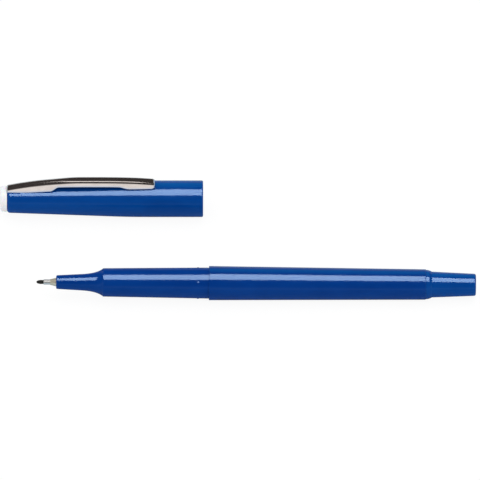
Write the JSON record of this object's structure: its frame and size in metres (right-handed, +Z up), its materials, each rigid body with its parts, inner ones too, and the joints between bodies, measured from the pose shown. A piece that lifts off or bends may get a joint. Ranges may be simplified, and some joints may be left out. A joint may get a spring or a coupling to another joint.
{
  "type": "fineliner pen",
  "caption": "Fineliner pen with a tapered barrel, stepped grip, metal-sleeved nib and a pull-off cap lying beside it, with a sprung sheet-metal clip.",
  "frame": {"origin": "middle of the underside of the box round pen and cap as they lie on a table", "axes": "+X along the cap's axis towards the pen's tail, +Y from the pen to the cap, +Z up, where the clip points"},
  "size_m": [0.1426, 0.048, 0.0134],
  "materials": {
    "blue_plastic": "polished moulding",
    "cone_metal": "turned, pale",
    "tube_metal": "drawn",
    "nib_fibre": "porous, ink-stained",
    "ink_fibre": "ink-soaked fibre bundle",
    "sleeve_film": "thin clear film",
    "liner_plastic": "soft moulding",
    "pale_plastic": "smooth moulding",
    "clip_metal": "polished plate"
  },
  "bodies": {
    "pen": {"barrel": "blue_plastic", "grip_section": "blue_plastic", "ferrule_cone": "cone_metal", "nib_tube": "tube_metal", "fibre_nib": "nib_fibre", "ink_reservoir": "ink_fibre", "reservoir_sleeve": "sleeve_film", "tail_plug": "blue_plastic"},
    "cap": {"cap_shell": "blue_plastic", "inner_cap": "liner_plastic", "cap_end_plug": "pale_plastic"},
    "clip": {"clip": "clip_metal"}
  },
  "joints": [
    {"name": "cap_pull", "type": "slide", "parent": "pen", "child": "cap", "axis": [-1, 0, 0], "range_m": [0, 0.0519]},
    {"name": "clip_flex", "type": "hinge", "parent": "cap", "child": "clip", "pos_m": [-0.06908, 0.01851, 0.00956], "axis": [0, -1, 0], "range_deg": [0, 2.5], "stiffness_Nm_per_rad": 3}
  ]
}
